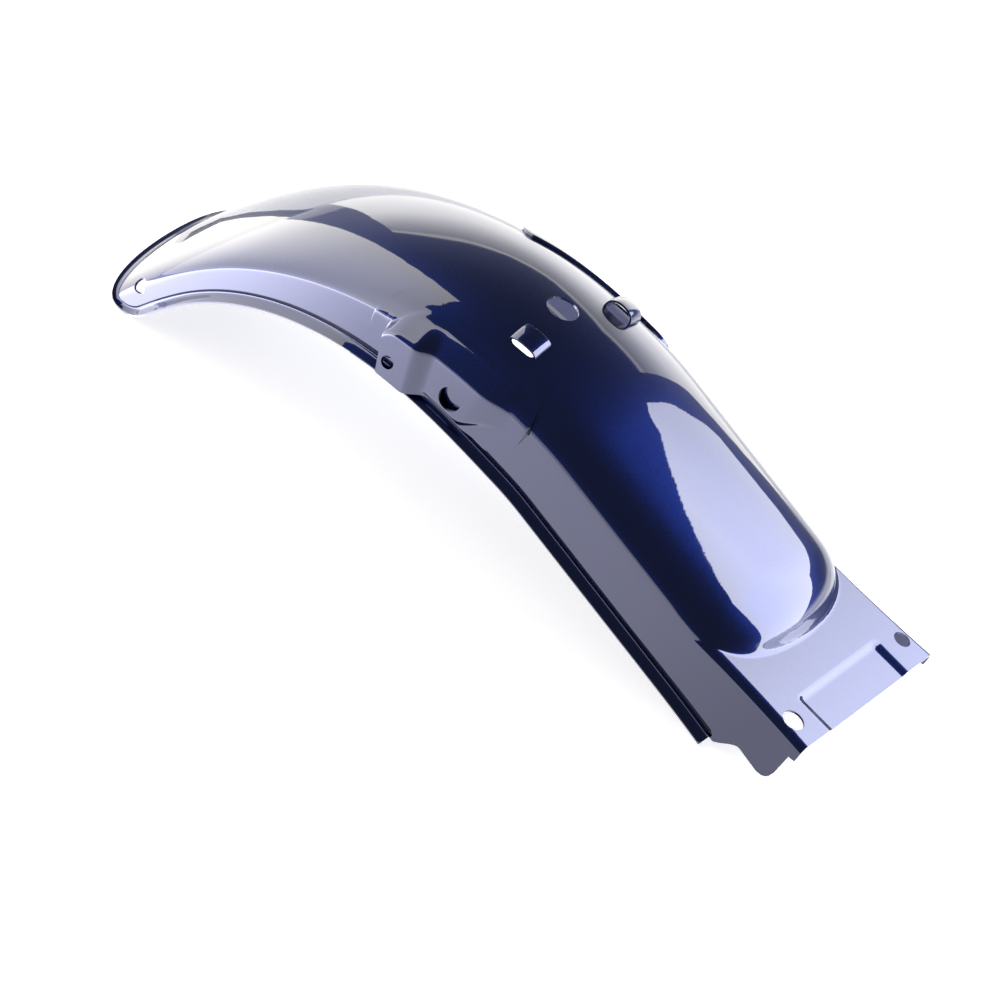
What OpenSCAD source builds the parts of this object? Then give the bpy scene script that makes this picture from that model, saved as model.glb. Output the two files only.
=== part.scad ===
// Motorcycle rear fender pressed from steel sheet, with a side mounting bracket on each side.
// Millimetres. +X runs from the tail to the front plate, +Y is the left side, +Z is up.
// It stands on its rolled edge, with z = 0 under the edge and x = 0 at mid length.
// A place on the shell is (s, h, y): s is the length along the crown line from the tail,
// h the height above the side walls' lower edge at that station, and y the side.

/* [Crown line] */
// radius of the crown line over the wheel
crown_r = 285; // [260:1:310]
// angle the crown line turns through
crown_turn = 77; // [72:0.5:82]
// straight run from the arc to the front edge of the plate
front_run = 218; // [200:1:240]

/* [Shell section] */
// half width of the shell over the wheel
body_half = 75; // [70:0.5:85]
// half width of the shell at the tail
tail_half = 73.8; // [68:0.5:84]
// half width across the ears at the plate's front edge
front_half = 79.5; // [76:0.5:86]
// height of the crown above the walls' lower edge, at the tail
tail_depth = 26.6; // [24:0.2:32]
// height of the crown above the walls' lower edge, at the front
body_depth = 68.6; // [62:0.2:76]
// height of the flat part of the side wall, at the tail
tail_wall = 10; // [8:0.5:12]
// height of the flat part of the side wall, at the front
body_wall = 33.5; // [30:0.5:36]
// roundness of the crown, where 2 is an ellipse and more is squarer
crown_power = 2.1; // [2:0.05:2.6]
// thickness of the shell's sheet
sheet = 1.5; // [1:0.1:2]
// radius of the tail's lower corners
tail_corner = 14; // [10:0.5:16]

/* [Rolled edge] */
// width of the rolled edge along the side walls
side_lip = 6.9; // [5:0.1:8]
// width of the rolled edge round the tail
tail_lip = 3.4; // [3:0.1:5]
// angle between the side wall and the rolled edge's face
lip_lean = 60.5; // [45:0.5:75]
// distance from the plate's front edge back to the front ends of the rolled edge
lip_stop = 43; // [40:0.5:50]

/* [Nose and front plate] */
// distance from the plate's front edge back to the start of the nose
nose_back = 104; // [98:0.5:110]
// length of the nose along the crown line
nose_len = 50; // [46:0.5:54]
// roundness of the nose in plan
nose_power = 2.9; // [2.4:0.05:3.2]
// radius of the fillet at the nose's foot
nose_fillet = 7; // [5:0.5:8]
// height of the plate's front edge above the walls' lower edge
plate_height = 55.5; // [53:0.2:58]
// angle the plate rises against the straight run
plate_rise = 8.65; // [7:0.05:9.5]
// radius of the fold between the plate and the ears
plate_fold = 6; // [5:0.1:8]
// height of the ears' lower edge above the walls' lower edge
ear_low = 15; // [12:0.5:18]
// set-back of the ears behind the plate's front edge
ear_back = 4.4; // [3.6:0.1:5]

/* [Stiffening pad] */
// width of the recessed pad
pad_w = 92; // [80:1:98]
// length of the recessed pad
pad_l = 26; // [24:0.5:32]
// depth of the recessed pad below the plate
pad_drop = 2.5; // [2:0.1:3.5]
// radius of the pad's corners
pad_r = 7; // [5:0.5:10]

/* [Mounting holes] */
// distance of the plate holes behind the front edge
plate_hole_back = 18; // [16:0.5:20]
// half spacing of the plate holes
plate_hole_half = 66; // [62:0.5:66]
// diameter of the right plate hole
plate_hole_right = 15; // [10:0.5:15]
// diameter of the left plate hole
plate_hole_left = 11.5; // [8:0.5:15]
// distance of the crown hole from the tail, along the crown line
crown_hole_s = 298; // [280:1:320]
// diameter of the crown hole
crown_hole_d = 21.4; // [16:0.2:24]
// distance of the tail holes from the tail, along the crown line
tail_hole_s = 21; // [19:0.5:26]
// height of the tail holes above the walls' lower edge
tail_hole_h = 13.6; // [12.5:0.1:15]
// diameter of the tail holes
tail_hole_d = 10; // [6:0.5:10]

/* [Harness bridges] */
// distance of the right bridge from the tail, along the crown line
bridge_right_s = 302.5; // [290:0.5:315]
// distance of the left bridge from the tail, along the crown line
bridge_left_s = 320; // [300:0.5:325]
// distance of the bridges from the middle of the shell
bridge_side = 41; // [36:0.5:45]
// length of the bridge's window along the crown line
bridge_len = 20; // [17:0.5:24]
// width of the bridge's window across the shell
bridge_wide = 19; // [17:0.5:22]
// width of the bridge's strap
strap_w = 15; // [12:0.5:16]
// height of the right strap above the shell
strap_rise_right = 4.6; // [4:0.1:6]
// height of the left strap above the shell
strap_rise_left = 8.4; // [7:0.1:9]

/* [Side brackets] */
// distance of the right bracket's rear edge from the tail, along the crown line
bracket_s = 208.5; // [200:0.5:216]
// distance of the left bracket's rear edge from the tail, along the crown line
bracket_left_s = 220.5; // [214:0.5:226]
// angle the left bracket is tipped down towards the tail
bracket_left_tip = 7; // [6:0.1:8]
// length of the brackets along the crown line
bracket_len = 135.5; // [130:0.5:142]
// thickness of the brackets' sheet
bracket_sheet = 2; // [1.5:0.1:2.2]
// gap between the shell and the brackets' flange
bracket_gap = 0.25; // [0.2:0.05:0.4]
// distance of the rear lobe's face from the middle of the shell
rear_lobe_y = 86; // [84:0.5:96]
// distance of the front lobe's face from the middle of the shell
front_lobe_y = 80; // [79.5:0.5:90]
// height of the box's top crease above the flange
crease_rise = 1.5; // [0.5:0.1:2]
// diameter of the small bracket hole
bracket_small_d = 9; // [6:0.5:10]
// diameter of the large bracket hole
bracket_large_d = 16; // [12:0.5:16.5]

/* [Hidden] */
arc_len = crown_r * crown_turn * PI / 180;
total = arc_len + front_run;
tail_heading = crown_turn - 20;
nose_s = total - nose_back;
lip_s = total - lip_stop;

// blends

function ramp(a, b, x) = let (t = min(1, max(0, (x - a) / (b - a)))) t * t * (3 - 2 * t);
function mix(a, b, t) = a + (b - a) * t;
function smooth_max(a, b, k) =
    let (d = max(k - abs(a - b), 0) / k) max(a, b) + d * d * k / 4;
// drop of a rounded corner of radius r that starts at distance x before the corner's end
function corner(r, x) = x >= r ? 0 : r - sqrt(max(0, r * r - pow(r - max(x, 0), 2)));
function unit(v) = v / norm(v);

// crown line and section sizes at station s

function heading(s) = tail_heading - min(s, arc_len) / crown_r * 180 / PI;
function crown(s) =
    let (a = heading(s), e = max(0, s - arc_len))
    [crown_r * (sin(tail_heading) - sin(a)) + e * cos(a),
     crown_r * (cos(a) - cos(tail_heading)) + e * sin(a)];
function depth(s) = mix(tail_depth, body_depth, ramp(0.13 * arc_len, 0.914 * arc_len, s));
function half(s) =
    mix(tail_half, body_half, ramp(0, arc_len / 2, s))
    + (front_half - body_half) * pow(min(1, max(0, (s - total + 86) / 86)), 2);
function wall(s) = mix(tail_wall, body_wall, ramp(0, 0.783 * arc_len, s));
function plate_h(s) = plate_height - (total - s) * tan(plate_rise);

// a place on the path: the crown point, moved along the crown line's normal
function at(s, h, y) =
    let (c = crown(s), a = heading(s), d = h - depth(s)) [c[0] - sin(a) * d, y, c[1] + cos(a) * d];

// stations near the front edge lean forward, so the front edge is square to the plate
function lean(s) = plate_rise * ramp(total - 56, total, s);
function at_lean(s, h, y) =
    let (p = plate_h(s), q = h - p) at(s - q * sin(lean(s)), p + q * cos(lean(s)), y);

// height of the shell's outer face at station s and side y

function dome_h(s, y) =
    let (u = min(abs(y) / half(s), 1), v = max(0, (s - nose_s) / nose_len),
         q = max(0, 1 - pow(u, crown_power) - pow(v, nose_power)))
    wall(s) + (depth(s) - wall(s)) * pow(q, 1 / crown_power);
function fold_h(s, y) =
    plate_h(s) - plate_fold
    + sqrt(max(0, pow(plate_fold, 2) - pow(max(0, abs(y) - half(s) + plate_fold), 2)));
function top_h(s, y) =
    s < nose_s - 30 ? dome_h(s, y)
    : smooth_max(dome_h(s, y), fold_h(s, y), max(0.01, nose_fillet * ramp(nose_s - 30, nose_s, s)));

// lower edge of the side wall and the ear at station s
function low_h(s) =
    let (e = total - s)
    s < tail_corner ? tail_corner - sqrt(pow(tail_corner, 2) - pow(tail_corner - s, 2))
    : e >= lip_stop ? 0
    : e > lip_stop - 14 ? ear_low * ramp(0, 15.5, lip_stop - e)
    : e > ear_back + 1.5 ? ear_low + corner(10, e - ear_back - 0.5)
    : e > ear_back ? mix(ear_low + 13, ear_low + 6, (e - ear_back) / 1.5)
    : mix(44, 42.5, e / ear_back);

// shell grid: stations from the tail to the front, columns from the right wall over to the left

shell_stations = concat(
    [for (a = [0, 22.5, 45, 67.5]) tail_corner * (1 - cos(a))],
    [for (k = [0 : 23]) tail_corner + (arc_len - tail_corner) * k / 24],
    [for (k = [0 : 3]) arc_len + (nose_s - 15 - arc_len) * k / 4],
    [nose_s - 15, nose_s - 7, nose_s],
    [for (k = [1 : 11]) nose_s + (nose_len - 3.5) * sin(k * 90 / 11)],
    [nose_s + nose_len - 1, nose_s + nose_len + 2, nose_s + nose_len + 5, total - lip_stop],
    [for (e = [37, 32, 27, 21, 16, 12.5, 9]) total - e],
    [for (e = [2.4, 1.5, 0.7, 0]) total - ear_back - e],
    [total - ear_back / 2, total]);
angles = [0, 4, 8, 12.5, 17.5, 23, 29, 36, 43, 51, 59, 67, 75, 82.5, 90];
side_u = [for (a = angles) a > 89 ? 0 : pow(cos(a), 2 / crown_power)];
last_c = 2 * len(angles);
last_s = len(shell_stations) - 1;

// outermost place of the section, where the tail's corner cuts above the flat wall
function edge_u(s) =
    low_h(s) <= wall(s) ? 1
    : pow(1 - pow((low_h(s) - wall(s)) / (depth(s) - wall(s)), crown_power), 1 / crown_power);
function first_u(s) =
    low_h(s) <= wall(s) - 1 ? 1
    : edge_u(s) * mix(1, 0.985, ramp(wall(s) - 1, wall(s), low_h(s)));
function shell_point(s, j) =
    let (k = j <= last_c / 2 ? j : last_c - j, side = j <= last_c / 2 ? -1 : 1,
         u = k == 0 ? edge_u(s) : side_u[k - 1] * first_u(s), y = side * u * half(s))
    at_lean(s, k == 0 ? low_h(s) : top_h(s, y), y);

shell_out = [for (s = shell_stations) [for (j = [0 : last_c]) shell_point(s, j)]];

// unit normals of a grid of points, by its neighbours
function grid_normals(g) =
    let (n = len(g) - 1, m = len(g[0]) - 1)
    [for (i = [0 : n]) [for (j = [0 : m])
        unit(cross(g[min(n, i + 1)][j] - g[max(0, i - 1)][j],
                   g[i][min(m, j + 1)] - g[i][max(0, j - 1)]))]];

shell_normals = grid_normals(shell_out);

// the rolled edge follows the wall's lower edge back round the tail and forward again

lip_i = [for (i = [0 : last_s]) if (shell_stations[i] <= lip_s + 0.01) i];
lip_last = lip_i[len(lip_i) - 1];
lip_path = concat(
    [for (i = [lip_last : -1 : 1]) [i, 0]],
    [for (j = [0 : last_c]) [0, j]],
    [for (i = [1 : lip_last]) [i, last_c]]);
lip_n = len(lip_path) - 1;

function lip_at(k) = shell_out[lip_path[k][0]][lip_path[k][1]];
function lip_normal(k) = shell_normals[lip_path[k][0]][lip_path[k][1]];
function lip_side(k) = unit(cross(lip_normal(k), lip_at(min(lip_n, k + 1)) - lip_at(max(0, k - 1))));
function lip_width(k) =
    mix(tail_lip, side_lip, ramp(0, 1.6 * tail_corner, shell_stations[lip_path[k][0]]));
function lip_under(k) = sin(lip_lean) * lip_side(k) - cos(lip_lean) * lip_normal(k);
lip_top = [for (k = [0 : lip_n])
    lip_at(k) + lip_width(k) * (sin(lip_lean) * lip_normal(k) + cos(lip_lean) * lip_side(k))];
lip_bottom = [for (k = [0 : lip_n]) lip_top[k] + sheet * lip_under(k)];
lip_crease = [for (k = [0 : lip_n])
    lip_at(k) - sheet * lip_normal(k)
    + sheet * (1 - cos(lip_lean)) / sin(lip_lean) * lip_side(k)];

// the shell stands level on the rolled edge's tail corners and its front ends

function turned(p, a) = [p[0] * cos(a) + p[2] * sin(a), p[1], p[2] * cos(a) - p[0] * sin(a)];
function lowest(pts, a) =
    let (z = [for (p = pts) turned(p, a)[2]], m = min(z))
    [for (i = [0 : len(pts) - 1]) if (z[i] == m) turned(pts[i], a)][0];
tail_tips = [for (k = [0 : lip_n]) if (shell_stations[lip_path[k][0]] < 60) lip_bottom[k]];
front_tips = [lip_bottom[0], lip_bottom[lip_n]];
function level(a, n) =
    let (t = lowest(tail_tips, a), f = lowest(front_tips, a))
    n == 0 ? a : level(a + atan2(f[2] - t[2], f[0] - t[0]), n - 1);
level_a = level(0, 4);
floor_z = lowest(tail_tips, level_a)[2];
shell_x = [for (p = concat(lip_top, lip_bottom, shell_out[last_s])) turned(p, level_a)[0]];
mid_x = (min(shell_x) + max(shell_x)) / 2;

module seated() {
    translate([-mid_x, 0, -floor_z]) rotate([0, level_a, 0]) children();
}

// frame on the shell's outer face: x forward along the shell, y to the left, z outward

function skin(s, y) = at_lean(s, top_h(s, y), y);
function skin_frame(s, y) =
    let (f = skin(s + 1, y) - skin(s - 1, y), l = skin(s, y + 1) - skin(s, y - 1),
         n = unit(cross(f, l)), x = unit(f), v = cross(n, x), p = skin(s, y))
    [[x[0], v[0], n[0], p[0]], [x[1], v[1], n[1], p[1]], [x[2], v[2], n[2], p[2]], [0, 0, 0, 1]];

module on_skin(s, y) {
    multmatrix(skin_frame(s, y)) children();
}

module skin_hole(s, y, d) {
    on_skin(s, y) translate([0, 0, -8]) cylinder(h = 16, d = d, $fn = 48);
}

// side of the shell at height h, and the section's normal there as [height, side]
function skin_t(s, h) = min(0.999, max(0, (h - wall(s)) / (depth(s) - wall(s))));
function skin_side(s, h) =
    half(s) * pow(1 - pow(skin_t(s, h), crown_power), 1 / crown_power);
function skin_turn(s, h) =
    unit([pow(skin_t(s, h), crown_power - 1) / (depth(s) - wall(s)),
          pow(skin_side(s, h) / half(s), crown_power - 1) / half(s)]);

// side of a skin that lies off outside the shell, at height h; the base height is found in n steps
function base_h(s, h, off, n = 9) =
    n == 0 ? h : let (b = base_h(s, h, off, n - 1)) (b + h - off * skin_turn(s, b)[0]) / 2;
function side_y(s, h, off) =
    off == 0 ? skin_side(s, h)
    : let (b = base_h(s, h, off)) skin_side(s, b) + off * skin_turn(s, b)[1];

// shell skin as one closed sheet

module shell_skin() {
    w = last_c + 1;
    count = (last_s + 1) * w;
    key = [for (k = [0 : lip_n]) lip_path[k][0] * w + lip_path[k][1]];
    crease = [for (i = [0 : last_s]) [for (j = [0 : last_c])
        let (edge = i <= lip_last && (j == 0 || j == last_c || i == 0),
             k = !edge ? 0 : j == 0 ? lip_last - i : j == last_c ? lip_n - lip_last + i
                 : lip_last + j)
        edge ? lip_crease[k] : shell_out[i][j] - sheet * shell_normals[i][j]]];
    points = concat([for (r = shell_out) each r], [for (r = crease) each r], lip_top, lip_bottom);
    tip = 2 * count;
    under = 2 * count + lip_n + 1;
    skins = [for (i = [0 : last_s - 1]) for (j = [0 : last_c - 1])
        let (a = i * w + j, b = a + w)
        each [[a, a + 1, b + 1, b], [count + a, count + b, count + b + 1, count + a + 1]]];
    lips = [for (k = [0 : lip_n - 1]) each [
        [key[k], tip + k, tip + k + 1, key[k + 1]],
        [tip + k, under + k, under + k + 1, tip + k + 1],
        [under + k, count + key[k], count + key[k + 1], under + k + 1]]];
    lip_ends = [[key[0], count + key[0], under, tip],
        [key[lip_n], tip + lip_n, under + lip_n, count + key[lip_n]]];
    ears = [for (i = [lip_last : last_s - 1]) let (a = i * w, b = a + w) each [
        [a, b, count + b, count + a],
        [b + last_c, a + last_c, count + a + last_c, count + b + last_c]]];
    front = [for (j = [0 : last_c - 1]) let (a = last_s * w + j)
        [a, a + 1, count + a + 1, count + a]];
    polyhedron(points, concat(skins, lips, lip_ends, ears, front), convexity = 8);
}

// pressed pad at the front edge: a recess with a floor of the same sheet under it

module pad_slab(w, l, r, low, high) {
    for (side = [-1, 1])
        translate([-l + r, side * (w / 2 - r), low]) cylinder(h = high - low, r = r, $fn = 48);
    translate([-l + r, -w / 2, low]) cube([l - r + 4, w, high - low]);
    translate([-l, -w / 2 + r, low]) cube([r + 1, w - 2 * r, high - low]);
}

module on_plate() {
    p = at(total, plate_height, 0);
    translate(p) rotate([0, -heading(total) - plate_rise, 0]) children();
}

// strap of a harness bridge: a band bent fore and aft over the window

module strap(rise) {
    ring = (pow(bridge_len / 2 + 0.4, 2) + pow(rise, 2)) / (2 * rise);
    intersection() {
        translate([0, strap_w / 2, rise - ring]) rotate([90, 0, 0]) difference() {
            cylinder(h = strap_w, r = ring, $fn = 64);
            translate([0, 0, -1]) cylinder(h = strap_w + 2, r = ring - sheet, $fn = 64);
        }
        translate([-20, -20, -sheet * 0.6]) cube([40, 40, 20]);
    }
}

module window() {
    translate([-bridge_len / 2 + 0.9, -bridge_wide / 2, -6]) cube([bridge_len - 1.8, bridge_wide, 14]);
}

// hole through the bracket of one side at place p, side being -1 on the right
module through(p, side, d) {
    translate([p[0], side * body_half / 2, p[2]]) rotate([-90 * side, 0, 0])
        cylinder(h = body_half, d = d, $fn = 48);
}

module fender_shell() {
    color([0.02, 0.04, 0.2]) seated() difference() {
        union() {
            difference() {
                shell_skin();
                on_skin(bridge_right_s, -bridge_side) window();
                on_skin(bridge_left_s, bridge_side) window();
            }
            on_skin(bridge_right_s, -bridge_side) strap(strap_rise_right);
            on_skin(bridge_left_s, bridge_side) strap(strap_rise_left);
            on_plate() pad_slab(pad_w + 2 * sheet, pad_l + sheet, pad_r + sheet,
                -pad_drop - sheet, -sheet * 0.5);
        }
        on_plate() pad_slab(pad_w, pad_l, pad_r, -pad_drop, 6);
        on_plate() translate([0, -100, -10]) cube([20, 200, 24]);
        skin_hole(total - plate_hole_back, -plate_hole_half, plate_hole_right);
        skin_hole(total - plate_hole_back, plate_hole_half, plate_hole_left);
        skin_hole(crown_hole_s, 0, crown_hole_d);
        for (side = [-1, 1])
            skin_hole(tail_hole_s, side * side_y(tail_hole_s, tail_hole_h, 0), tail_hole_d);
    }
}

// side bracket: a pressed box on a flange that follows the shell. Both are one pressing, which
// was drawn pressing_len long; the left one is turned round, so its front is the pressing's rear

pressing_len = 135.5;
flange_off = bracket_gap + bracket_sheet;
bracket_q = concat([0, 0.3, 0.9, 1.8, 3, 4.5, 6.2, 8, 9.8, 11.5, 12.3, 13.2, 14.2, 15.2, 17, 20, 24, 30, 37],
    [41, 44, 47, 50, 53, 57, 63, 70, 78, 86, 92, 98, 105, 112, 118, 123, 127.5, 130, 132, 133.5],
    [134.6, 135.2, pressing_len]) * bracket_len / pressing_len;
function scaled(l) = l * pressing_len / bracket_len;
function station_of(q, side) =
    let (l = q * bracket_len / pressing_len) side < 0 ? bracket_s + l : bracket_left_s + bracket_len - l;
function lift(q, side) = side < 0 ? 0 : tan(bracket_left_tip) * (pressing_len / 2 - q);

// heights of the flange's edges, the box's top crease and its face, at length q of the pressing
function flange_top(q) = 48.8 + q * 0.06 - corner(26, q) - corner(20, pressing_len - q);
function flange_low(q) =
    8.2 - 9.7 * ramp(6, 17, q) + 5 * ramp(36, 60, q) + 2 * ramp(90, 106, q)
    + corner(22, pressing_len - q);
function box_top(q) = max(43.2 + q * 0.053 - corner(26, q - 14), face_top(q) + 4);
function face_top(q) = 30.2 + 0.045 * q - corner(15, q - 11.5) + 3 * ramp(95, 124, q);
function face_low(q) =
    mix(flange_low(q) + 5, 6.3 + 21.7 * ramp(80, 124, q), ramp(46, 60, q));

// how far the box stands out, from 0 on the flange to 1 on a lobe's face
function stand(q) = ramp(11.5, 15.2, q) * (1 - ramp(92, 125, q));
function lobe_y(q) = mix(rear_lobe_y, front_lobe_y, ramp(40, 54, q));
// how far the top crease stands off the flange, from 0 at the bracket's ends to 1
function crest(q) = ramp(11.5, 22, q) * (1 - ramp(108, 126, q));
// how far the lower edge is tucked back to the wall, from 0 free to 1 on the wall
function tuck(q) = ramp(49, 61, q);

// the bracket's section as heights and sides, from the lower edge up
function bracket_turns(q, side) =
    let (s = station_of(q, side),
         low = flange_low(q), top = flange_top(q),
         even = [0, 0.15, 0.35, 0.6, 0.8, 1],
         edge = max(1 - min(q / 11.5, 1), max(0, (q - pressing_len + 11.5) / 11.5)),
         f = face_low(q),
         box = [low, mix(low + 2.5, max(low + 1, f - 4), tuck(q)), f, face_top(q), box_top(q), top],
         hs = [for (i = [0 : 5]) mix(box[i], mix(low, top, even[i]), edge) + lift(q, side)],
         on = [for (h = hs) side_y(s, h, flange_off)],
         out = [for (i = [0 : 5])
             i > 3 ? on[i] + (i == 4 ? crease_rise * crest(q) : 0)
             : mix(on[i], max(on[i], lobe_y(q)), stand(q) * (i < 2 ? 1 - tuck(q) : 1))])
    [for (i = [0 : 5]) [hs[i], out[i]]];

// each turn of the section is rounded by three points, and more lie between turns
function rounded(t, i) =
    let (a = t[i - 1] - t[i], b = t[i + 1] - t[i],
         p = t[i] + a * min(2.2 / norm(a), 0.42), n = t[i] + b * min(2.2 / norm(b), 0.42))
    [p, t[i] / 2 + p / 4 + n / 4, n];
function bracket_section(q, side) =
    let (t = bracket_turns(q, side), r = concat([[t[0]]], [for (i = [1 : 4]) rounded(t, i)], [[t[5]]]))
    [for (i = [0 : 5]) let (a = r[i], e = a[len(a) - 1], n = i == 4 ? 6 : 2)
        each concat(a, i == 5 ? [] : [for (k = [1 : n]) mix(e, r[i + 1][0], k / (n + 1))])];
function bracket_out(side) = [for (l = bracket_q)
    let (q = scaled(l), s = station_of(q, side))
    [for (p = bracket_section(q, side))
        at(s, p[0], side * max(p[1], side_y(s, p[0], flange_off)))]];

module sheet_of(out, t) {
    n = len(out) - 1;
    m = len(out[0]) - 1;
    w = m + 1;
    count = (n + 1) * w;
    normals = grid_normals(out);
    inner = [for (i = [0 : n]) [for (j = [0 : m]) out[i][j] - t * normals[i][j]]];
    faces = [for (i = [0 : n - 1]) for (j = [0 : m - 1]) let (a = i * w + j, b = a + w)
        each [[a, a + 1, b + 1, b], [count + a, count + b, count + b + 1, count + a + 1]]];
    ends = [for (j = [0 : m - 1]) let (a = j, b = n * w + j)
        each [[a + 1, a, count + a, count + a + 1], [b, b + 1, count + b + 1, count + b]]];
    sides = [for (i = [0 : n - 1]) let (a = i * w, b = a + w)
        each [[a, b, count + b, count + a], [b + m, a + m, count + a + m, count + b + m]]];
    polyhedron(concat([for (r = out) each r], [for (r = inner) each r]),
        concat(faces, ends, sides), convexity = 6);
}

// the holes lie at measured places on the lobes' faces
function small_hole(side) = at(station_of(23.6, side), 10.2 + lift(23.6, side), 0);
function large_hole(side) = at(station_of(76.1, side), 16.3 + lift(76.1, side), 0);

module side_bracket(side) {
    difference() {
        sheet_of(bracket_out(side), bracket_sheet);
        through(small_hole(side), side, bracket_small_d);
        through(large_hole(side), side, bracket_large_d);
    }
}

module right_mount_bracket() {
    color([0.02, 0.04, 0.22]) seated() side_bracket(-1);
}

module left_mount_bracket() {
    color([0.02, 0.04, 0.22]) seated() side_bracket(1);
}

fender_shell();
right_mount_bracket();
left_mount_bracket();
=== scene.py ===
# Motorcycle rear fender in dark blue metallic lacquer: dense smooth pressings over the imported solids.
import math

import bpy
import numpy as np
from mathutils import Matrix, Vector


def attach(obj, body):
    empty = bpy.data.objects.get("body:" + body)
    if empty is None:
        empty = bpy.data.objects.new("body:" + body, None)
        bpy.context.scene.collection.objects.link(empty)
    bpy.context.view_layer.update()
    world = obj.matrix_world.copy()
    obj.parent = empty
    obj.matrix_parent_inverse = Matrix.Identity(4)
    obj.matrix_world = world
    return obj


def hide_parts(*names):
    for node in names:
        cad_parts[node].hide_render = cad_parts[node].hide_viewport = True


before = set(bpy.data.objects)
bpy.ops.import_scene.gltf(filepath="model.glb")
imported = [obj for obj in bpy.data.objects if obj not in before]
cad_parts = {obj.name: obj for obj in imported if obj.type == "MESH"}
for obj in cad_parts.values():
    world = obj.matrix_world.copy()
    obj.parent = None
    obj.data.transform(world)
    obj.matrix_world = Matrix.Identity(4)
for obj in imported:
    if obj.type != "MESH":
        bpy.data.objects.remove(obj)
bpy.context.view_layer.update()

# Shell sizes in millimetres, the same as the solids have

CROWN_R, TURN, RUN = 285.0, 77.0, 218.0
ARC = CROWN_R * math.radians(TURN)
TOTAL = ARC + RUN
HEAD0 = math.radians(TURN - 20)
POWER, NOSE_POWER = 2.1, 2.9
TAIL_HALF, BODY_HALF, TAIL_DEPTH, BODY_DEPTH, TAIL_WALL, BODY_WALL = 73.8, 75, 26.6, 68.6, 10, 33.5
FLARE, FLARE_LEN = 4.5, 86
NOSE_S, NOSE_LEN, NOSE_FILLET = TOTAL - 104, 50.0, 7.0
PLATE_H, PLATE_RISE, PLATE_FOLD = 55.5, math.radians(8.65), 6.0
SHEET, CORNER = 1.5, 14.0
SIDE_LIP, TAIL_LIP, LIP_LEAN, LIP_STOP = 6.9, 3.4, math.radians(60.5), 43.0
LIP_BEND = 2.4
LEAD = LIP_BEND * math.tan(LIP_LEAN / 2)
EAR_LOW, EAR_BACK = 15.0, 4.4
PAD_HALF, PAD_LEN, PAD_DEEP = 48.5, 27.5, 2.5
PAD_SLOPE_S, PAD_SLOPE_Y = 2.8, 6.5
LEVEL, MID_X, FLOOR_Z = math.radians(-0.488502), 266.577, -12.3413

# Openings of the shell: places along the crown, sides or heights, and radii

PLATE_HOLE_BACK, PLATE_HOLE_SIDE, RIGHT_HOLE_R, LEFT_HOLE_R = 18, 66, 7.5, 5.75
CROWN_HOLE_S, CROWN_HOLE_R = 298, 10.7
TAIL_HOLE_S, TAIL_HOLE_H, TAIL_HOLE_R = 21, 13.6, 5
BRIDGE_RIGHT_S, BRIDGE_LEFT_S, BRIDGE_SIDE = 302.5, 320, 41
WINDOW_LEN, WINDOW_WIDE, WINDOW_REACH = 9.1, 9.5, 12.6
STRAP_WIDE, STRAP_LEN, STRAP_RISE_RIGHT, STRAP_RISE_LEFT = 16, 20.6, 4.3, 8.6


def ramp(a, b, x):
    t = np.clip((np.asarray(x, float) - a) / (b - a), 0, 1)
    return t * t * (3 - 2 * t)


def mix(a, b, t):
    return a + (b - a) * t


def smooth_max(a, b, k):
    d = np.maximum(k - np.abs(a - b), 0) / k
    return np.maximum(a, b) + d * d * k / 4


def corner(r, x):
    x = np.maximum(np.asarray(x, float), 0)
    return np.where(x >= r, 0, r - np.sqrt(np.maximum(0, r * r - (r - x) ** 2)))


def heading(s):
    return HEAD0 - np.minimum(s, ARC) / CROWN_R


def depth(s):
    return mix(TAIL_DEPTH, BODY_DEPTH, ramp(0.13 * ARC, 0.914 * ARC, s))


def half(s):
    body = mix(TAIL_HALF, BODY_HALF, ramp(0, ARC / 2, s))
    return body + FLARE * np.clip((s - TOTAL + FLARE_LEN) / FLARE_LEN, 0, 1.2) ** 2


def wall(s):
    return mix(TAIL_WALL, BODY_WALL, ramp(0, 0.783 * ARC, s))


def plate_h(s):
    return PLATE_H - (TOTAL - s) * math.tan(PLATE_RISE)


def seat(p):
    x = p[..., 0] * math.cos(LEVEL) + p[..., 2] * math.sin(LEVEL) - MID_X
    z = p[..., 2] * math.cos(LEVEL) - p[..., 0] * math.sin(LEVEL) - FLOOR_Z
    return np.stack([x, p[..., 1], z], -1)


def at(s, h, y):
    s, h, y = np.broadcast_arrays(np.asarray(s, float), np.asarray(h, float), np.asarray(y, float))
    a, e, d = heading(s), np.maximum(0, s - ARC), h - depth(s)
    x = CROWN_R * (math.sin(HEAD0) - np.sin(a)) + e * np.cos(a) - np.sin(a) * d
    z = CROWN_R * (np.cos(a) - math.cos(HEAD0)) + e * np.sin(a) + np.cos(a) * d
    return np.stack([x, y, z], -1)


def at_lean(s, h, y):
    lean = PLATE_RISE * ramp(TOTAL - 56, TOTAL, s)
    p = plate_h(s)
    q = h - p
    return at(s - q * np.sin(lean), p + q * np.cos(lean), y)


def top_h(s, y):
    w = half(s)
    u = np.minimum(np.abs(y) / w, 1)
    v = np.maximum(0, (s - NOSE_S) / NOSE_LEN)
    q = np.maximum(0, 1 - u ** POWER - v ** NOSE_POWER)
    dome = wall(s) + (depth(s) - wall(s)) * q ** (1 / POWER)
    run = np.maximum(0, np.abs(y) - w + PLATE_FOLD)
    fold = plate_h(s) - PLATE_FOLD + np.sqrt(np.maximum(0, PLATE_FOLD ** 2 - run ** 2))
    k = np.maximum(0.01, NOSE_FILLET * ramp(NOSE_S - 30, NOSE_S, s))
    return np.where(s < NOSE_S - 30, dome, smooth_max(dome, fold, k))


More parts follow.
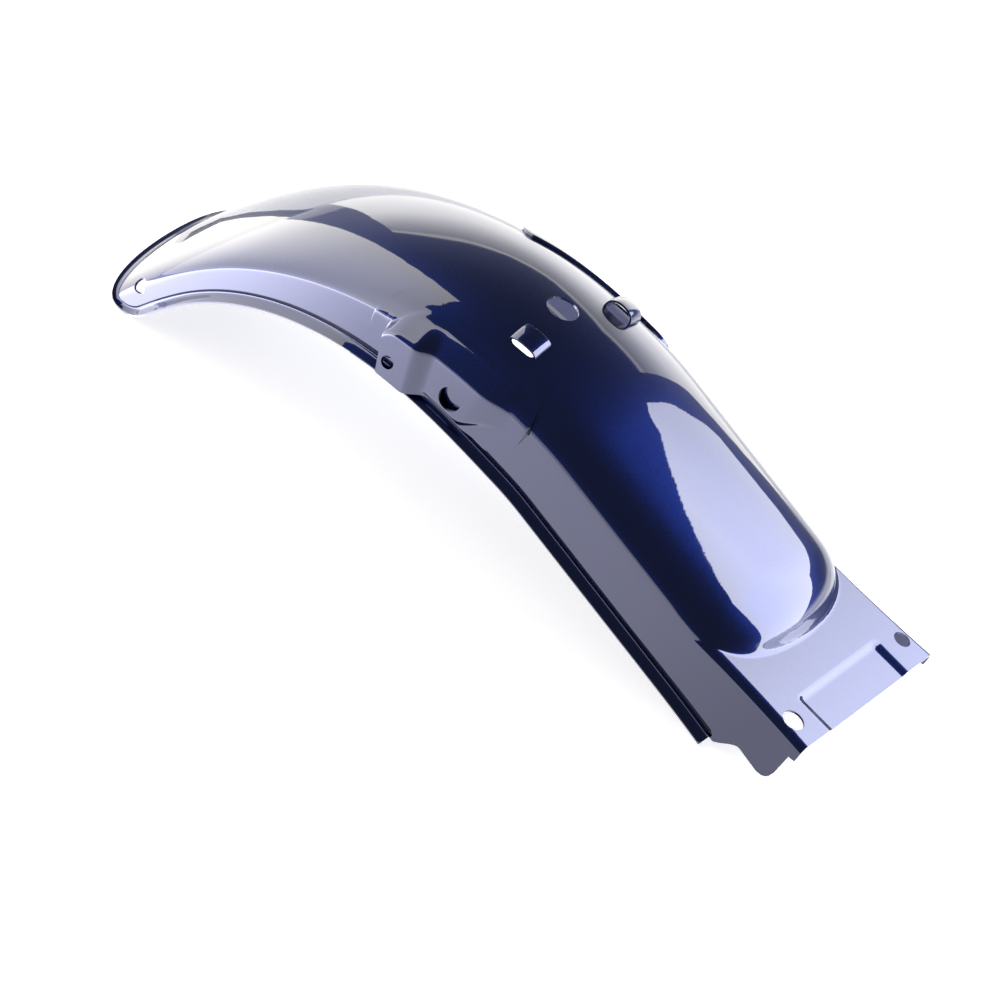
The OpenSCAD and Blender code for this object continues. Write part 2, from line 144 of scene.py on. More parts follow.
def pad(s, y):
    dx = np.clip(1 - (PAD_LEN - (TOTAL - s)) / PAD_SLOPE_S, 0, 9)
    dy = np.clip(1 - (PAD_HALF - np.abs(y)) / PAD_SLOPE_Y, 0, 9)
    f = np.clip(1 - np.sqrt(dx ** 2 + dy ** 2), 0, 1)
    return -PAD_DEEP * f * f * (3 - 2 * f)


# The shell as a surface over (s, x): x < 0 is the right wall in mm below its top,
# 0 to 180 runs over the crown in degrees, and above 180 is the left wall in mm


def shell(s, x):
    s, x = np.broadcast_arrays(np.asarray(s, float), np.asarray(x, float))
    w = half(s)
    c = np.cos(np.radians(np.clip(x, 0, 180)))
    y = -w * np.sign(c) * np.abs(c) ** (2 / POWER)
    h = top_h(s, y) + np.minimum(x, 0) - np.maximum(x - 180, 0)
    h = h + np.where(s > TOTAL - 40, pad(s, y), 0)
    return at_lean(s, h, y)


def unit(v):
    return v / np.maximum(np.linalg.norm(v, axis=-1, keepdims=True), 1e-12)


def normals_of(surf, a, b, da=0.3, db=0.3):
    return unit(np.cross(surf(a + da, b) - surf(a - da, b), surf(a, b + db) - surf(a, b - db)))


def low_edge(s):
    e = TOTAL - s
    tail = CORNER - np.sqrt(np.maximum(0, (CORNER - LEAD) ** 2 - np.maximum(0, CORNER - s) ** 2))
    ear = EAR_LOW * ramp(0, 15.5, LIP_STOP - e)
    bottom = EAR_LOW + corner(10, e - EAR_BACK - 0.5)
    step = mix(EAR_LOW + 13, EAR_LOW + 6, (e - EAR_BACK) / 1.5)
    front = mix(44, 42.5, e / EAR_BACK)
    return np.select([s < CORNER, e >= LIP_STOP, e > LIP_STOP - 14, e > EAR_BACK + 1.5, e > EAR_BACK],
                     [tail, LEAD, np.maximum(LEAD, ear), bottom, step], front)


def low_x(s):
    # lower edge as the surface's x: mm below the wall's top, or degrees up the crown
    gap = low_edge(s) - top_h(s, half(s))
    t = np.clip(gap / (depth(s) - wall(s)), 0, 0.999)
    return np.where(gap <= 0, gap, np.degrees(np.arcsin(np.sqrt(t ** POWER))))


# Mesh assembly


class Mesh:
    def __init__(self):
        self.points, self.normals, self.faces, self.count = [], [], [], 0

    def add(self, p, n):
        k = self.count
        self.points.append(p.reshape(-1, 3))
        self.normals.append(n.reshape(-1, 3))
        self.count += p.reshape(-1, 3).shape[0]
        return k + np.arange(self.count - k).reshape(p.shape[:-1])

    def strip(self, a, b):
        for k in range(len(a) - 1):
            self.faces.append((a[k], a[k + 1], b[k + 1], b[k]))

    def grid(self, ids, skip=None):
        n, m = ids.shape
        for i in range(n - 1):
            for j in range(m - 1):
                if skip is None or not skip[i, j]:
                    self.faces.append((ids[i, j], ids[i + 1, j], ids[i + 1, j + 1], ids[i, j + 1]))

    def hole(self, surf, ids, a, b, i0, i1, j0, j1, rim, rings=5, db=0.3):
        # fills the cells i0..i1, j0..j1 round an opening whose rim is given in surface (a, b) pairs
        loop = ([(i, j0) for i in range(i0, i1)] + [(i1, j) for j in range(j0, j1)]
                + [(i, j1) for i in range(i1, i0, -1)] + [(i0, j) for j in range(j1, j0, -1)])
        I = np.array([p[0] for p in loop])
        J = np.array([p[1] for p in loop])
        outer = np.stack([a[I, J], b[I, J]], -1)
        inner = rim(surf(outer[:, 0], outer[:, 1]))
        prev = ids[I, J]
        for k in range(1, rings + 1):
            t = 1 - (1 - k / rings) ** 1.35
            ab = mix(outer, inner, t)
            new = self.add(surf(ab[:, 0], ab[:, 1]), normals_of(surf, ab[:, 0], ab[:, 1], 0.3, db))
            n = len(loop)
            for q in range(n):
                self.faces.append((prev[q], prev[(q + 1) % n], new[(q + 1) % n], new[q]))
            prev = new

    def build(self, name, thick):
        # gives the sheet its thickness, closes its rims and seats it in the part's frame
        p, n = np.concatenate(self.points), unit(np.concatenate(self.normals))
        f = np.array(self.faces)
        edges = {}
        for quad in f:
            for k in range(4):
                e = (quad[k], quad[(k + 1) % 4])
                edges[e] = edges.get(e, 0) + 1
        rims = [e for e in edges if (e[1], e[0]) not in edges]
        used = np.zeros(len(p), bool)
        used[f.ravel()] = True
        new = np.cumsum(used) - 1
        p, n, f = p[used], n[used], new[f]
        c = len(p)
        pts = np.concatenate([p, p - thick * n])
        inner = f[:, ::-1] + c
        side = np.array([(new[e[1]], new[e[0]], new[e[0]] + c, new[e[1]] + c) for e in rims])
        pts = seat(pts) / 1000
        me = bpy.data.meshes.new(name)
        me.from_pydata(pts.tolist(), [], np.concatenate([f, inner, side]).tolist())
        me.update()
        ob = bpy.data.objects.new(name, me)
        bpy.context.collection.objects.link(ob)
        return ob


def round_rims(ob, width):
    ob.data.shade_smooth()
    bev = ob.modifiers.new("rims", "BEVEL")
    bev.width = width / 1000
    bev.segments = 2
    bev.limit_method = "ANGLE"
    bev.angle_limit = math.radians(55)
    bev.harden_normals = True
    deps = bpy.context.evaluated_depsgraph_get()
    done = bpy.data.meshes.new_from_object(ob.evaluated_get(deps))
    ob.modifiers.clear()
    ob.data = done
    return ob


def rim_maker(surf, a0, b0, outline, db=0.3):
    # gives the rim's surface pairs for directions seen from the middle of an opening
    p0 = surf(np.array(a0), np.array(b0))
    n0 = normals_of(surf, np.array(a0), np.array(b0), 0.3, db)
    e1 = unit(surf(np.array(a0 + 0.5), np.array(b0)) - surf(np.array(a0 - 0.5), np.array(b0)))
    e2 = np.cross(n0, e1)

    def rim(loop):
        d = loop - p0
        ang = np.arctan2(d @ e2, d @ e1)
        u, v = outline(ang)
        a, b = np.full(len(ang), float(a0)), np.full(len(ang), float(b0))
        for _ in range(14):
            q = surf(a, b) - p0
            r1, r2 = u - q @ e1, v - q @ e2
            da = (surf(a + 0.2, b) - surf(a - 0.2, b)) / 0.4
            dbv = (surf(a, b + db) - surf(a, b - db)) / (2 * db)
            m11, m12, m21, m22 = da @ e1, dbv @ e1, da @ e2, dbv @ e2
            det = m11 * m22 - m12 * m21
            a = a + np.clip((m22 * r1 - m12 * r2) / det, -3, 3)
            b = b + np.clip((m11 * r2 - m21 * r1) / det, -10 * db, 10 * db)
        return np.stack([a, b], -1)

    return rim, p0, n0, e1, e2


def circle(r):
    return lambda ang: (r * np.cos(ang), r * np.sin(ang))


def rounded_box(lx, ly, k=5):
    def outline(ang):
        c, s = np.cos(ang), np.sin(ang)
        t = 1 / (np.abs(c / lx) ** k + np.abs(s / ly) ** k) ** (1 / k)
        return t * c, t * s
    return outline


def cells_round(surf, a, b, p0, reach):
    # index range of the grid's cells within reach of a place
    p = surf(a, b)
    near = np.linalg.norm(p - p0, axis=-1) < reach
    I, J = np.where(near)
    return max(I.min() - 1, 0), min(I.max() + 1, a.shape[0] - 1), J.min() - 1, J.max() + 1


# Fender shell


def spaced(a, b, step):
    return list(np.linspace(a, b, max(2, int(round((b - a) / step)) + 1))[:-1])


stations = [CORNER - (CORNER - LEAD) * math.cos(t) for t in np.radians(np.arange(0, 89, 9))]
for a, b, step in ((CORNER, 34, 1.7), (34, 284, 3.4), (284, 334, 1.45), (334, NOSE_S, 3.4),
                   (NOSE_S, TOTAL - 50, 1.35), (TOTAL - 50, TOTAL - LIP_STOP, 1.4),
                   (TOTAL - LIP_STOP, TOTAL - EAR_BACK - 1.5, 1.4)):
    stations += spaced(a, b, step)
stations += [TOTAL - e for e in (5.9, 5.4, 4.9, 4.4, 3.3, 2.2, 1.1, 0)]
stations = np.array(stations)
pad_u = [math.degrees(math.acos((y / 78.3) ** (POWER / 2))) for y in (48.5, 46.5, 44.5, 42.0)]
quarter = sorted(list(np.linspace(0, 90, 54)) + pad_u)
quarter = np.array([q for k, q in enumerate(quarter) if k == 0 or q - quarter[k - 1] > 0.35])
WALLS = 9
low = low_x(stations)
top = np.maximum(0, low + 5)
side_cols = low[:, None] + (top - low)[:, None] * np.linspace(0, 1, WALLS)[None, :-1]
half_cols = np.concatenate([side_cols, top[:, None] + (90 - top)[:, None] * quarter[None, :] / 90], 1)
X = np.concatenate([half_cols, 180 - half_cols[:, -2::-1]], 1)
S = np.broadcast_to(stations[:, None], X.shape).copy()

m = Mesh()
P = shell(S, X)
N = normals_of(shell, S, X)
ids = m.add(P, N)
skip = np.zeros((ids.shape[0] - 1, ids.shape[1] - 1), bool)


def cut(s0, y0, h0, outline, reach):
    # opening in the shell at station s0 and side y0, or at height h0 on the shoulder of y0's side
    if h0 is None:
        w = float(half(np.array(s0)))
        x0 = math.degrees(math.acos((abs(y0) / w) ** (POWER / 2)))
    else:
        rise = h0 - float(wall(np.array(s0)))
        crown = float(depth(np.array(s0)) - wall(np.array(s0)))
        x0 = math.degrees(math.asin(math.sqrt((rise / crown) ** POWER)))
    if y0 > 0:
        x0 = 180 - x0
    rim, p0, n0, e1, e2 = rim_maker(shell, s0, x0, outline)
    i0, i1, j0, j1 = cells_round(shell, S, X, p0, reach)
    skip[i0:i1, j0:j1] = True
    m.hole(shell, ids, S, X, i0, i1, j0, j1, rim)
    return p0, n0, e1, e2


cut(TOTAL - PLATE_HOLE_BACK, -PLATE_HOLE_SIDE, None, circle(RIGHT_HOLE_R), 9.3)
cut(TOTAL - PLATE_HOLE_BACK, PLATE_HOLE_SIDE, None, circle(LEFT_HOLE_R), 8.5)
cut(CROWN_HOLE_S, 0, None, circle(CROWN_HOLE_R), 14)
for y0 in (-1, 1):
    cut(TAIL_HOLE_S, y0, TAIL_HOLE_H, circle(TAIL_HOLE_R), 7.5)
bridges = [cut(s0, y0, None, rounded_box(WINDOW_LEN, WINDOW_WIDE), WINDOW_REACH)
           for s0, y0 in ((BRIDGE_RIGHT_S, -BRIDGE_SIDE), (BRIDGE_LEFT_S, BRIDGE_SIDE))]
m.grid(ids, skip)

# Rolled edge round the lower border: rows round the bend, then rows out to the edge's end

BEND_ROWS, FLAT_ROWS = 5, 3
last = int(np.where(stations <= TOTAL - LIP_STOP + 0.01)[0][-1])
path = np.concatenate([ids[last:0:-1, 0], ids[0, :], ids[1:last + 1, -1]])
flat_p, flat_n = P.reshape(-1, 3), N.reshape(-1, 3)
bp, bn = flat_p[path], flat_n[path]
travel = np.gradient(bp, axis=0)
be = unit(np.cross(bn, travel))
st = S.reshape(-1)[path]
width = mix(TAIL_LIP, SIDE_LIP, ramp(LEAD, 1.6 * CORNER, st)) - LEAD
prev = path
for k in range(1, BEND_ROWS + FLAT_ROWS + 1):
    a = min(k, BEND_ROWS) / BEND_ROWS * LIP_LEAN
    run = max(0, k - BEND_ROWS) / FLAT_ROWS * np.maximum(0.5, width)
    e = LIP_BEND * math.sin(a) + run * math.cos(a)
    n = LIP_BEND * (1 - math.cos(a)) + run * math.sin(a)
    q = bp + np.asarray(e)[..., None] * be + np.asarray(n)[..., None] * bn
    new = m.add(q, math.cos(a) * bn - math.sin(a) * be)
    m.strip(new, prev)
    prev = new
shell_ob = round_rims(m.build("shell_skin", SHEET), 0.4)


# Straps of the harness bridges: a band bent fore and aft over each window


def strap(name, p0, n0, e1, e2, rise):
    t = np.radians(np.linspace(-97, 97, 33))
    v = np.linspace(-1, 1, 11)
    T, V = np.meshgrid(t, v, indexing="ij")
    u = STRAP_LEN / 2 * np.sign(T) * np.abs(np.sin(T)) ** 0.9
    w = rise * np.cos(T) * np.abs(np.cos(T)) ** -0.25
    w = np.where(np.abs(T) > math.pi / 2, np.cos(T) * 6, w) - 0.6 * V ** 2
    p = p0 + u[..., None] * e1 + (V * STRAP_WIDE / 2)[..., None] * e2 + w[..., None] * n0
    du, dv = np.gradient(p, axis=0), np.gradient(p, axis=1)
    mm = Mesh()
    mm.grid(mm.add(p, unit(np.cross(du, dv))))
    return round_rims(mm.build(name, SHEET), 0.35)


straps = [strap("bridge_strap_right", *bridges[0], STRAP_RISE_RIGHT),
          strap("bridge_strap_left", *bridges[1], STRAP_RISE_LEFT)]

# Side brackets

BR_S, BR_LEFT_S, BR_LEN, BR_SHEET, BR_GAP = 208.5, 220.5, 135.5, 2.0, 0.25
BR_TIP, CREASE = math.tan(math.radians(7)), 1.5
REAR_LOBE_Y, FRONT_LOBE_Y, BR_END, BR_ROUND = 86, 80, 11.5, 3.0
OFF = BR_GAP + BR_SHEET
# each hole's place along the pressing, height, radius and the reach of the patch round it
BR_HOLES = ((23.6, 10.2, 4.5, 6.6), (76.1, 16.3, 8.0, 9.6))
HOLE_STEP = 0.012


def place(q, side):
    # station and lift of the pressing's length q: the left bracket is the same pressing turned round
    return (BR_S + q, 0 * q) if side < 0 else (BR_LEFT_S + BR_LEN - q, BR_TIP * (BR_LEN / 2 - q))


def side_y(s, h, off):
    # side at height h of a skin that lies off outside the shell, along the section's normal
    b = h
    for _ in range(10):
        t = np.clip((b - wall(s)) / (depth(s) - wall(s)), 0, 0.999)
        y = half(s) * (1 - t ** POWER) ** (1 / POWER)
        nh, ny = t ** (POWER - 1) / (depth(s) - wall(s)), (y / half(s)) ** (POWER - 1) / half(s)
        size = np.hypot(nh, ny)
        b = (b + h - off * nh / size) / 2
    return y + off * ny / size


def bracket_turns(q, side):
    # the section's six turns, as heights and sides, at length q of the pressing
    s, lift = place(q, side)
    low = 8.2 - 9.7 * ramp(6, 17, q) + 5 * ramp(36, 60, q) + 2 * ramp(90, 106, q) + corner(22, BR_LEN - q)
    top = 48.8 + q * 0.06 - corner(26, q) - corner(20, BR_LEN - q)
    face_top = 30.2 + 0.045 * q - corner(15, q - BR_END) + 3 * ramp(95, 124, q)
    box_top = np.maximum(43.2 + q * 0.053 - corner(26, q - 14), face_top + 4)
    face_low = mix(low + 5, 6.3 + 21.7 * ramp(80, 124, q), ramp(46, 60, q))
    tuck = ramp(49, 61, q)
    front_end = np.maximum(0, (q - (BR_LEN - BR_END)) / BR_END)
    edge = np.maximum(1 - np.minimum(q / BR_END, 1), front_end)
    box = [low, mix(low + 2.5, np.maximum(low + 1, face_low - 4), tuck), face_low, face_top, box_top, top]
    stand = ramp(BR_END, 15.2, q) * (1 - ramp(92, 125, q))
    lobe = mix(REAR_LOBE_Y, FRONT_LOBE_Y, ramp(40, 54, q))
    crest = CREASE * ramp(BR_END, 22, q) * (1 - ramp(108, 126, q))
    H, Y = [], []
    for i, even in enumerate((0, 0.15, 0.35, 0.6, 0.8, 1)):
        h = mix(box[i], mix(low, top, even), edge) + lift
        on = side_y(s, h, OFF)
        if i > 3:
            out = on + (crest if i == 4 else 0)
        else:
            out = mix(on, np.maximum(on, lobe), stand * ((1 - tuck) if i < 2 else 1))
        H.append(h)
        Y.append(out)
    return np.stack([np.stack(H, -1), np.stack(Y, -1)], -1)


def bracket(q, b, side):
    # the pressing as a surface over its length q and the place b between turns, each turn rounded
    q, b = np.broadcast_arrays(np.asarray(q, float), np.asarray(b, float))
    q = np.clip(q, 0, BR_LEN)
    b = np.clip(b, 0, 5)
    T = bracket_turns(q, side)
    take = lambda i: np.take_along_axis(T, i[..., None, None].repeat(2, -1), -2)[..., 0, :]
    k = np.clip(np.floor(b).astype(int), 0, 4)
    line = take(k) + (take(k + 1) - take(k)) * (b - k)[..., None]
    c = np.clip(np.rint(b).astype(int), 1, 4)
    mid, before, after = take(c), take(c - 1), take(c + 1)
    la = np.maximum(np.linalg.norm(before - mid, axis=-1), 1e-6)
    lb = np.maximum(np.linalg.norm(after - mid, axis=-1), 1e-6)
    fa, fb = np.minimum(BR_ROUND / la, 0.45), np.minimum(BR_ROUND / lb, 0.45)
    d = b - c
    t = np.clip(0.5 + np.where(d < 0, d / (2 * fa), d / (2 * fb)), 0, 1)[..., None]
    p = mid + (before - mid) * fa[..., None]
    n = mid + (after - mid) * fb[..., None]
    curve = (1 - t) ** 2 * p + 2 * t * (1 - t) * mid + t ** 2 * n
    inside = (d > -fa) & (d < fb)
    r = np.where(inside[..., None], curve, line)
    s = place(q, side)[0]
    y = np.maximum(r[..., 1], side_y(s, r[..., 0], OFF))
    return at(s, r[..., 0], side * y)


def bracket_mesh(name, side):
    surf = lambda q, b: bracket(q, b, side)
    q = np.array(spaced(0, 10, 1.6) + spaced(10, 18, 0.7) + spaced(18, BR_LEN, 1.7) + [BR_LEN])
    b = []
    for k, n in enumerate((7, 5, 16, 14, 9)):
        b += list(k + np.linspace(0, 1, n + 1)[:-1])
    b = np.array(b + [5.0])
    for c in (1, 2, 3, 4):
        b = np.concatenate([b, c + np.array([-0.2, -0.1, -0.04, 0.04, 0.1, 0.2])])
    b = np.unique(np.round(b, 3))
    A, B = np.meshgrid(q, b, indexing="ij")
    mm = Mesh()
    grid_p = surf(A, B)
    gn = unit(np.cross(np.gradient(grid_p, axis=0), np.gradient(grid_p, axis=1)))
    gi = mm.add(grid_p, gn)
    sk = np.zeros((gi.shape[0] - 1, gi.shape[1] - 1), bool)
    for q0, h0, r, reach in BR_HOLES:
        bs = np.linspace(1.5, 3.2, 400)
        s0, lift = place(q0, side)
        want = at(s0, h0 + lift, 0)
        p = surf(np.full(400, q0), bs)
        b0 = bs[np.argmin(np.hypot(p[:, 0] - want[0], p[:, 2] - want[2]))]
        rim, p0, n0, e1, e2 = rim_maker(surf, q0, float(b0), circle(r), HOLE_STEP)
        i0, i1, j0, j1 = cells_round(surf, A, B, p0, reach)
        sk[i0:i1, j0:j1] = True
        mm.hole(surf, gi, A, B, i0, i1, j0, j1, rim, 4, HOLE_STEP)
    mm.grid(gi, sk)
    return round_rims(mm.build(name, BR_SHEET), 0.5)


brackets = [bracket_mesh("bracket_right", -1), bracket_mesh("bracket_left", 1)]

# Paint: blue metallic base with fine flake under a clear coat, with the sheet's slight waviness


def add_node(nt, kind, **values):
    n = nt.nodes.new(kind)
    for k, v in values.items():
        if k in n.inputs:
            n.inputs[k].default_value = v
        else:
            setattr(n, k, v)
    return n


def paint(name):
    mat = bpy.data.materials.new(name)
    mat.use_nodes = True
    nt = mat.node_tree
    link = nt.links.new
    bsdf = nt.nodes["Principled BSDF"]
    for k, v in (("Metallic", 1.0), ("Roughness", 0.34), ("Coat Weight", 1.0), ("Coat IOR", 2.05),
                 ("Coat Roughness", 0.025)):
        bsdf.inputs[k].default_value = v
    co = nt.nodes.new("ShaderNodeTexCoord")
    flake = add_node(nt, "ShaderNodeTexNoise", Scale=2600.0, Detail=1.0)
    link(co.outputs["Object"], flake.inputs["Vector"])
    tone = nt.nodes.new("ShaderNodeValToRGB")
    dark, light = tone.color_ramp.elements
    dark.position, light.position = 0.35, 0.7
    dark.color = (0.0040, 0.012, 0.100, 1)
    light.color = (0.0055, 0.016, 0.122, 1)
    link(flake.outputs["Fac"], tone.inputs["Fac"])
    link(tone.outputs["Color"], bsdf.inputs["Base Color"])
    wave = add_node(nt, "ShaderNodeTexNoise", Scale=26.0, Detail=2.0)
    link(co.outputs["Object"], wave.inputs["Vector"])
    peel = add_node(nt, "ShaderNodeTexNoise", Scale=420.0, Detail=1.0)
    link(co.outputs["Object"], peel.inputs["Vector"])
    wavy = add_node(nt, "ShaderNodeBump", Strength=1.0, Distance=0.00008)
    peeled = add_node(nt, "ShaderNodeBump", Strength=1.0, Distance=0.000004)
    link(wave.outputs["Fac"], wavy.inputs["Height"])
    link(peel.outputs["Fac"], peeled.inputs["Height"])
    link(wavy.outputs["Normal"], peeled.inputs["Normal"])
    link(peeled.outputs["Normal"], bsdf.inputs["Coat Normal"])
    link(wavy.outputs["Normal"], bsdf.inputs["Normal"])
    return mat


blue = paint("fender_paint")
for ob in [shell_ob] + straps + brackets:
    ob.data.materials.clear()
    ob.data.materials.append(blue)

for ob in [shell_ob] + straps:
    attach(ob, "root")
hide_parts("fender_shell")
for ob, node in zip(brackets, ("right_mount_bracket", "left_mount_bracket")):
    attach(ob, "root")
    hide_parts(node)

# Camera from the photograph: a long lens, aimed so the part falls where it does there

EYE_DISTANCE = 6.0


def path_vector(v):
    x, y, z = v
    return Vector((x * math.cos(LEVEL) + z * math.sin(LEVEL), y, z * math.cos(LEVEL) - x * math.sin(LEVEL)))


right, up, toward = (path_vector(v) for v in ((0.7795, 0.5237, 0.3436), (-0.5639, 0.3480, 0.7489),
                                              (0.2726, -0.7776, 0.5666)))
aim = Vector(seat(np.array([252.5, 0.0, 48.4])) / 1000)
eye = aim + EYE_DISTANCE * toward
target = aim - 0.009695 * right - 0.0566 * up
back = (eye - target).normalized()
across = up.cross(back).normalized()
upward = back.cross(across)
cam = bpy.data.cameras.new("camera")
cam.lens = 353.3
cam.sensor_width = 36
cam.clip_end = 50
cam_ob = bpy.data.objects.new("camera", cam)
cam_ob.matrix_world = Matrix(((across.x, upward.x, back.x, eye.x), (across.y, upward.y, back.y, eye.y),
                              (across.z, upward.z, back.z, eye.z), (0, 0, 0, 1)))
bpy.context.collection.objects.link(cam_ob)
bpy.context.scene.camera = cam_ob

# Stage: pale floor that keeps the shadow, soft boxes as glowing cards, a low backdrop behind

CURVED_STEPS = 30
ROUND_MIDDLE, ROUND_RADIUS = (-0.1, 0), 1.1


def glow(name, colour, stops, along=1):
    # emission whose strength follows (place, strength) stops along the card's own width or height
    mat = bpy.data.materials.new(name)
    mat.use_nodes = True
    nt = mat.node_tree
    nt.nodes.clear()
    peak = max(v for _, v in stops)
    out = nt.nodes.new("ShaderNodeOutputMaterial")
    em = add_node(nt, "ShaderNodeEmission", Color=(*colour, 1))
    uv = nt.nodes.new("ShaderNodeUVMap")
    sep = nt.nodes.new("ShaderNodeSeparateXYZ")
    curve = nt.nodes.new("ShaderNodeValToRGB")
    el = curve.color_ramp.elements
    while len(el) < len(stops):
        el.new(0.5)
    for e, (at_, v) in zip(el, stops):
        e.position = at_
        e.color = (v / peak, v / peak, v / peak, 1)
    gain = add_node(nt, "ShaderNodeMath", operation="MULTIPLY")
    gain.inputs[1].default_value = peak
    nt.links.new(uv.outputs["UV"], sep.inputs[0])
    nt.links.new(sep.outputs[along], curve.inputs["Fac"])
    nt.links.new(curve.outputs["Color"], gain.inputs[0])
    nt.links.new(gain.outputs[0], em.inputs["Strength"])
    nt.links.new(em.outputs[0], out.inputs[0])
    return mat


def card(name, points, uvs, faces, mat, diffuse=True):
    me = bpy.data.meshes.new(name)
    me.from_pydata([tuple(map(float, p)) for p in points], [], faces)
    lay = me.uv_layers.new(name="UVMap")
    for loop in me.loops:
        lay.data[loop.index].uv = tuple(map(float, uvs[loop.vertex_index]))
    me.materials.append(mat)
    ob = bpy.data.objects.new(name, me)
    bpy.context.collection.objects.link(ob)
    ob.visible_camera = False
    ob.visible_shadow = False
    ob.visible_diffuse = diffuse
    return ob


def upright_card(name, origin, az, distance, outline, mat):
    # outline in (u, z): u to the right as seen from the part, z above the floor
    a = math.radians(az)
    n, r = np.array((math.cos(a), math.sin(a))), np.array((math.sin(a), -math.cos(a)))
    o = np.array(origin) + distance * n
    us = [u for u, _ in outline]
    top = max(z for _, z in outline)
    pts = [(*(o + u * r), z) for u, z in outline]
    uvs = [((u - min(us)) / (max(us) - min(us)), z / top) for u, z in outline]
    return card(name, pts, uvs, [tuple(range(len(pts)))], mat)


def curved_card(name, origin, radius, tops, mat):
    # tops as (azimuth, height) pairs, filled in every few degrees
    az = np.linspace(tops[0][0], tops[-1][0], CURVED_STEPS + 1)
    tz = np.interp(az, [t[0] for t in tops], [t[1] for t in tops])
    pts, uvs = [], []
    for k, (a, z) in enumerate(zip(np.radians(az), tz)):
        for v in (0, 1):
            pts.append((origin[0] + radius * math.cos(a), origin[1] + radius * math.sin(a),
                        0.01 + v * (z - 0.01)))
            uvs.append((k / CURVED_STEPS, v))
    return card(name, pts, uvs, [(2 * k, 2 * k + 2, 2 * k + 3, 2 * k + 1) for k in range(CURVED_STEPS)], mat)


def floor_card(name, corners, z, x0, x1, mat):
    # seen in reflections only; its strength runs from x0 to x1
    pts = [(x, y, z) for x, y in corners]
    uvs = [((x - x0) / (x1 - x0), 0.5) for x, _ in corners]
    return card(name, pts, uvs, [tuple(range(len(pts)))], mat, False)


upright_card("soft_box_front", (0.12, 0), 53, 0.5,
             ((0.12, 0.01), (0.05, 0.12), (-0.08, 0.25), (-0.30, 0.24), (-0.36, 0.29), (-0.36, 0.33),
              (-0.32, 0.52), (-0.30, 0.66), (-0.22, 0.71), (-0.08, 0.94), (0.15, 1.37), (0.37, 1.82),
              (0.50, 1.70), (0.50, 0.60), (0.42, 0.01)),
             glow("soft_box_front", (0.92, 0.94, 1.0),
                  ((0, 2.9), (0.1, 3.4), (0.2, 4.2), (0.35, 5.0), (1, 4.8)), 0))
curved_card("soft_box_tail", ROUND_MIDDLE, ROUND_RADIUS,
            ((136, 1.8), (143, 1.95), (150, 2.15), (160, 2.4), (250, 2.4)),
            glow("soft_box_tail", (1.0, 0.97, 0.86),
                 ((0, 3.4), (0.12, 2.5), (0.3, 2.1), (0.55, 2.0), (1, 1.6))))
curved_card("backdrop", ROUND_MIDDLE, ROUND_RADIUS,
            ((80, 0.90), (92, 0.88), (106, 0.66), (112, 0.61), (119, 0.58), (125, 0.54), (131, 0.45)),
            glow("backdrop", (1, 0.98, 0.90), ((0, 2.6), (0.45, 2.3), (0.75, 1.1), (0.9, 0.7), (0.915, 1.2),
                                               (0.96, 1.2), (0.975, 0.2), (1, 0.15))))
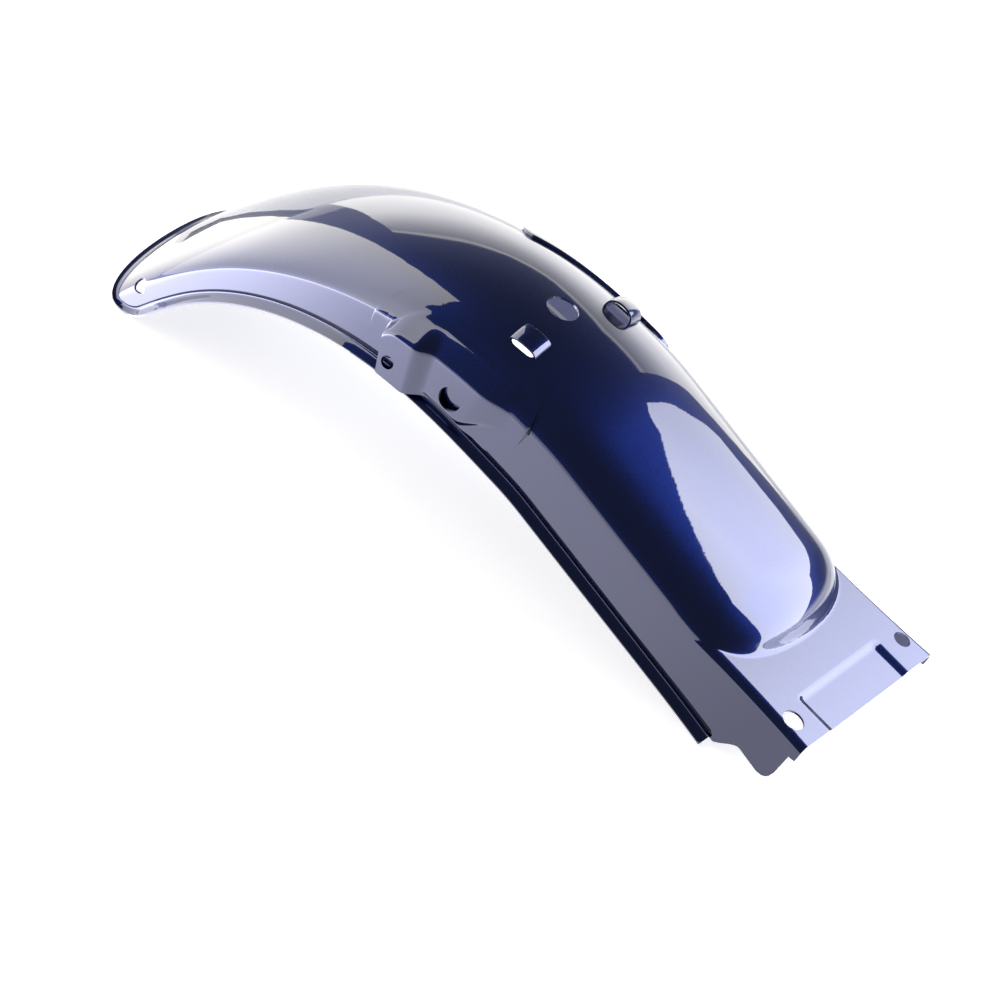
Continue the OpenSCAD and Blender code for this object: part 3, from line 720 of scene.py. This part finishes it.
# the edge that the pale floor behind the tail shares with the dark strip beside it
TAIL_EDGE = ((-0.319, 0.051), (-0.321, 0.104), (-0.361, 0.164), (-0.522, 0.363), (-0.995, 0.905))
floor_card("floor_tail", ((-0.12, -0.077), (-0.12, 0.02), (-0.30, 0.03), *TAIL_EDGE, (-1.3, 0.9), (-1.3, -0.077)),
           0.001, -1.3, -0.12, glow("floor_tail", (1.0, 0.96, 0.82), ((0, 2.7), (1, 3.0)), 0))
floor_card("floor_gap", (TAIL_EDGE[0], (-0.294, 0.049), (-0.299, 0.087), (-0.347, 0.165), (-0.476, 0.336),
                         (-0.698, 0.614), (-0.96, 0.95), *TAIL_EDGE[:0:-1]), 0.0015, -1.0, -0.29,
           glow("floor_gap", (0.5, 0.6, 1.0), ((0, 0.06), (1, 0.06)), 0))
floor_card("floor_side", ((-0.6, -0.6), (0.6, -0.6), (0.6, -0.077), (-0.6, -0.077)), 0.002, -0.6, 0.6,
           glow("floor_side", (1.0, 0.97, 0.90), ((0, 8.0), (0.27, 7.4), (0.31, 5.2), (0.35, 3.2), (0.38, 2.2),
                                                  (0.46, 1.5), (0.6, 1.2), (0.68, 0.9), (1, 0.8)), 0))

# Floor and world

bpy.ops.mesh.primitive_plane_add(size=40, location=(0, 0, -0.0005))
floor = bpy.context.object
floor.name = "floor"
fm = bpy.data.materials.new("floor")
fm.use_nodes = True
nt = fm.node_tree
nt.nodes.clear()
out = nt.nodes.new("ShaderNodeOutputMaterial")
em = add_node(nt, "ShaderNodeEmission", Color=(1, 1, 1, 1))
dif = add_node(nt, "ShaderNodeBsdfDiffuse", Color=(0.8, 0.8, 0.82, 1))
add = nt.nodes.new("ShaderNodeAddShader")
path = nt.nodes.new("ShaderNodeLightPath")
cam_part = add_node(nt, "ShaderNodeMath", operation="MULTIPLY")
cam_part.inputs[1].default_value = 0.7
gloss_part = add_node(nt, "ShaderNodeMath", operation="MULTIPLY_ADD")
gloss_part.inputs[1].default_value = 0.5
nt.links.new(path.outputs["Is Camera Ray"], cam_part.inputs[0])
nt.links.new(path.outputs["Is Glossy Ray"], gloss_part.inputs[0])
nt.links.new(cam_part.outputs[0], gloss_part.inputs[2])
nt.links.new(gloss_part.outputs[0], em.inputs["Strength"])
nt.links.new(em.outputs[0], add.inputs[0])
nt.links.new(dif.outputs[0], add.inputs[1])
nt.links.new(add.outputs[0], out.inputs[0])
floor.data.materials.append(fm)

world = bpy.data.worlds.new("world")
world.use_nodes = True
bpy.context.scene.world = world
nt = world.node_tree
bg = nt.nodes["Background"]
bg.inputs["Color"].default_value = (0.05, 0.06, 0.10, 1)
white = add_node(nt, "ShaderNodeBackground", Color=(1, 1, 1, 1))
pick = nt.nodes.new("ShaderNodeMixShader")
path = nt.nodes.new("ShaderNodeLightPath")
nt.links.new(path.outputs["Is Camera Ray"], pick.inputs[0])
nt.links.new(bg.outputs[0], pick.inputs[1])
nt.links.new(white.outputs[0], pick.inputs[2])
nt.links.new(pick.outputs[0], nt.nodes["World Output"].inputs[0])
bpy.context.scene.view_settings.view_transform = "Standard"

bpy.context.view_layer.update()
